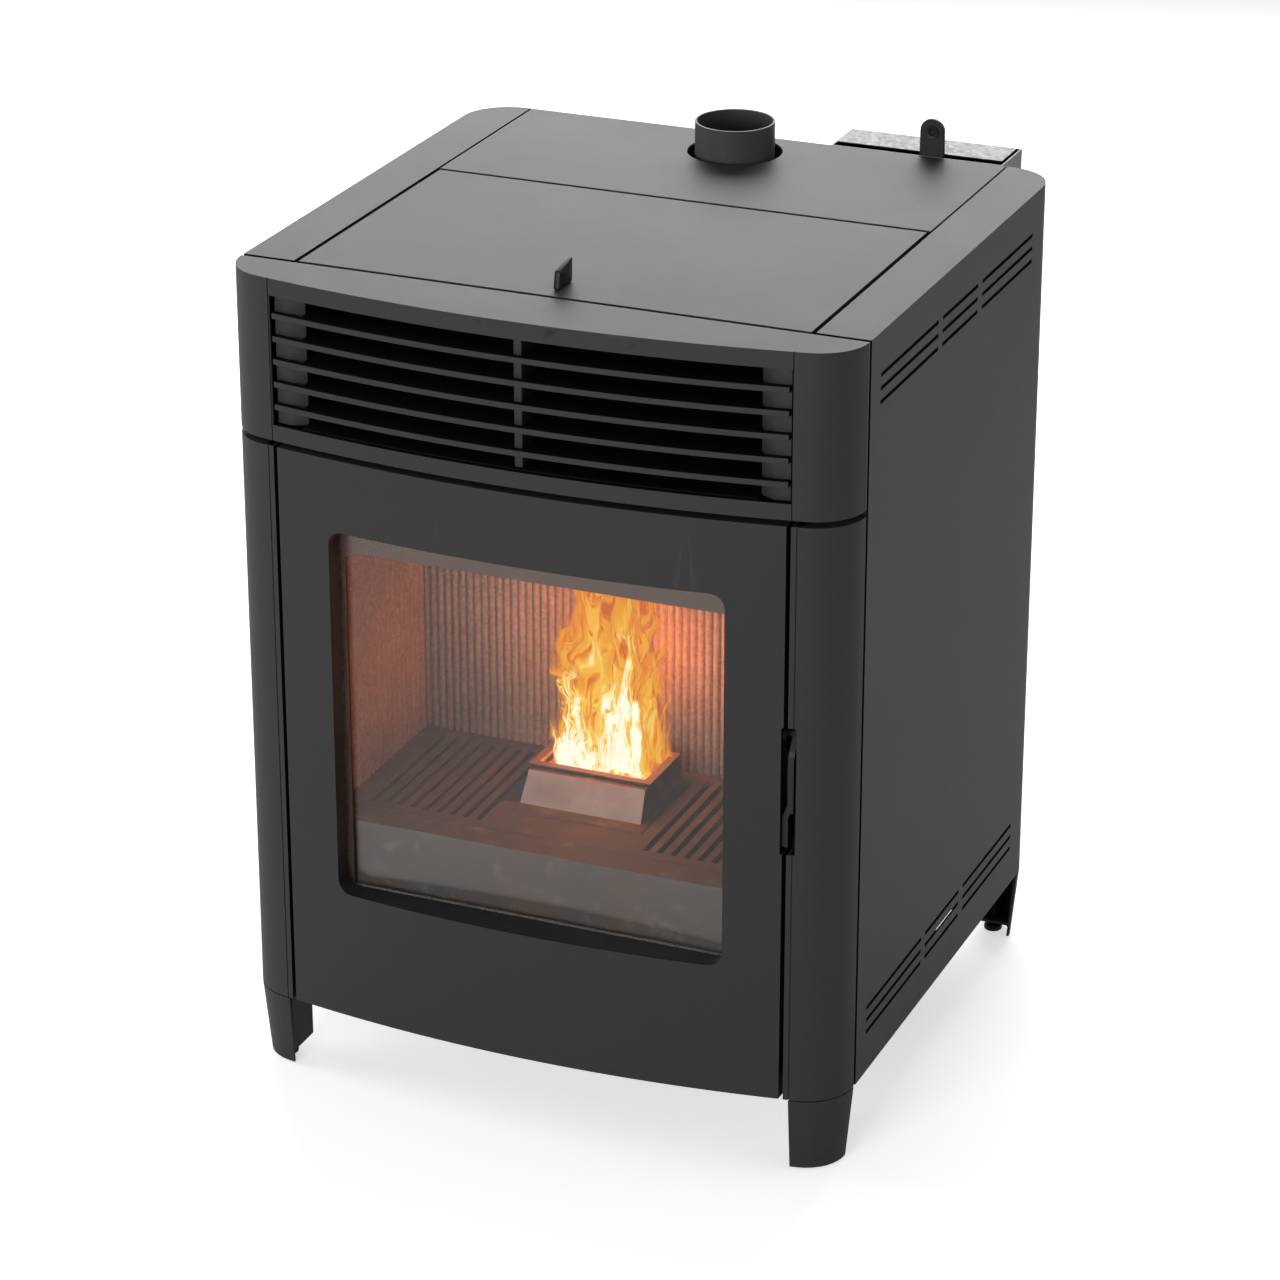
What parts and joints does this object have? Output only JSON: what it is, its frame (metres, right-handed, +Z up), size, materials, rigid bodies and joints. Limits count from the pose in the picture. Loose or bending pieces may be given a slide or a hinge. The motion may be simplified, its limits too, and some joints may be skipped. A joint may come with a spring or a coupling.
{
  "type": "pellet stove",
  "caption": "Free-standing pellet stove with a bowed front, glazed fire door, louvred warm-air outlet, hinged hopper lid on top, rear flue spigot and short tapered legs.",
  "frame": {"origin": "on the floor, under the middle of the overall box", "axes": "+X to the right seen from the front, +Y to the back, +Z up"},
  "size_m": [0.622, 0.6736, 0.863],
  "materials": {
    "painted_body": "satin textured grey-black paint",
    "black_plastic": "matt",
    "inner_steel": "plain sheet",
    "galvanised": "galvanised sheet",
    "cast_iron": "matt black",
    "glass": "fire glass",
    "rope": "glass-fibre rope",
    "vermiculite": "fluted vermiculite",
    "flue_paint": "satin",
    "board": "circuit board",
    "switch_red": "gloss"
  },
  "bodies": {
    "stove": {"leg_front_right": "painted_body", "leg_front_left": "painted_body", "leg_rear_right": "painted_body", "leg_rear_left": "painted_body", "side_panel_right": "painted_body", "side_panel_left": "painted_body", "corner_post_right": "painted_body", "corner_post_left": "painted_body", "rear_top_plate": "painted_body", "head_casting": "painted_body", "louvre_1": "painted_body", "louvre_2": "painted_body", "louvre_3": "painted_body", "louvre_4": "painted_body", "louvre_5": "painted_body", "grille_centre_rib": "painted_body", "feed_motor": "black_plastic", "mains_inlet": "black_plastic", "base_plate": "inner_steel", "rear_panel": "inner_steel", "outlet_duct": "inner_steel", "lid_hinge_rod": "inner_steel", "hopper": "inner_steel", "hopper_grille": "inner_steel", "hinge_bracket_lower": "inner_steel", "hinge_bracket_upper": "inner_steel", "ash_drawer": "inner_steel", "igniter": "inner_steel", "auger_tube": "inner_steel", "blower_housing": "galvanised", "air_intake": "galvanised", "connection_box": "galvanised", "firebox": "cast_iron", "ash_grate": "cast_iron", "exhaust_housing": "cast_iron", "wall_lug": "cast_iron", "lid_seal": "rope", "back_liner": "vermiculite", "left_liner": "vermiculite", "right_liner": "vermiculite", "flue_pipe": "flue_paint", "control_board": "board"},
    "door": {"door_panel": "painted_body", "door_inner_frame": "cast_iron", "door_glass": "glass", "glass_gasket": "rope", "door_rope_seal": "rope"},
    "handle": {"door_handle": "black_plastic", "latch_cam": "inner_steel"},
    "lid": {"hopper_lid": "painted_body", "lid_handle": "black_plastic"},
    "pot": {"fire_pot": "cast_iron"},
    "feed_screw": {"auger_screw": "inner_steel"},
    "smoke_fan": {"exhaust_impeller": "inner_steel"},
    "room_fan": {"blower_rotor": "black_plastic"},
    "switch": {"power_switch": "switch_red"},
    "foot_front_right": {"levelling_foot_front_right": "black_plastic"},
    "foot_front_left": {"levelling_foot_front_left": "black_plastic"},
    "foot_rear_right": {"levelling_foot_rear_right": "black_plastic"},
    "foot_rear_left": {"levelling_foot_rear_left": "black_plastic"}
  },
  "joints": [
    {"name": "door_hinge", "type": "hinge", "parent": "stove", "child": "door", "pos_m": [-0.25, -0.3085, 0.37], "axis": [0, 0, -1], "range_deg": [0, 90]},
    {"name": "handle_turn", "type": "hinge", "parent": "door", "child": "handle", "pos_m": [0.25, -0.29, 0.448], "axis": [-1, 0, 0], "range_deg": [0, 25]},
    {"name": "lid_hinge", "type": "hinge", "parent": "stove", "child": "lid", "pos_m": [0, 0.04119, 0.817], "axis": [-1, 0, 0], "range_deg": [0, 80]},
    {"name": "fire_pot_lift", "type": "slide", "parent": "stove", "child": "pot", "axis": [0, 0, 1], "range_m": [0, 0.06]},
    {"name": "feed_screw_turn", "type": "hinge", "parent": "stove", "child": "feed_screw", "pos_m": [0, 0.165, 0.235], "axis": [0, -0.6636, 0.748], "continuous": true},
    {"name": "smoke_fan_turn", "type": "hinge", "parent": "stove", "child": "smoke_fan", "pos_m": [-0.188, 0.205, 0.335], "axis": [0, 1, 0], "continuous": true},
    {"name": "room_fan_turn", "type": "hinge", "parent": "stove", "child": "room_fan", "pos_m": [0.15, 0.196, 0.16], "axis": [1, 0, 0], "continuous": true},
    {"name": "power_switch_rock", "type": "hinge", "parent": "stove", "child": "switch", "pos_m": [-0.184, 0.27225, 0.15], "axis": [0, 0, -1], "range_deg": [0, 14]},
    {"name": "foot_front_right_turn", "type": "hinge", "parent": "stove", "child": "foot_front_right", "pos_m": [0.281, -0.28181, 0.02], "axis": [0, 0, 1], "continuous": true},
    {"name": "foot_front_left_turn", "type": "hinge", "parent": "stove", "child": "foot_front_left", "pos_m": [-0.281, -0.28181, 0.02], "axis": [0, 0, 1], "continuous": true},
    {"name": "foot_rear_right_turn", "type": "hinge", "parent": "stove", "child": "foot_rear_right", "pos_m": [0.281, 0.24525, 0.02], "axis": [0, 0, 1], "continuous": true},
    {"name": "foot_rear_left_turn", "type": "hinge", "parent": "stove", "child": "foot_rear_left", "pos_m": [-0.281, 0.24525, 0.02], "axis": [0, 0, 1], "continuous": true}
  ]
}
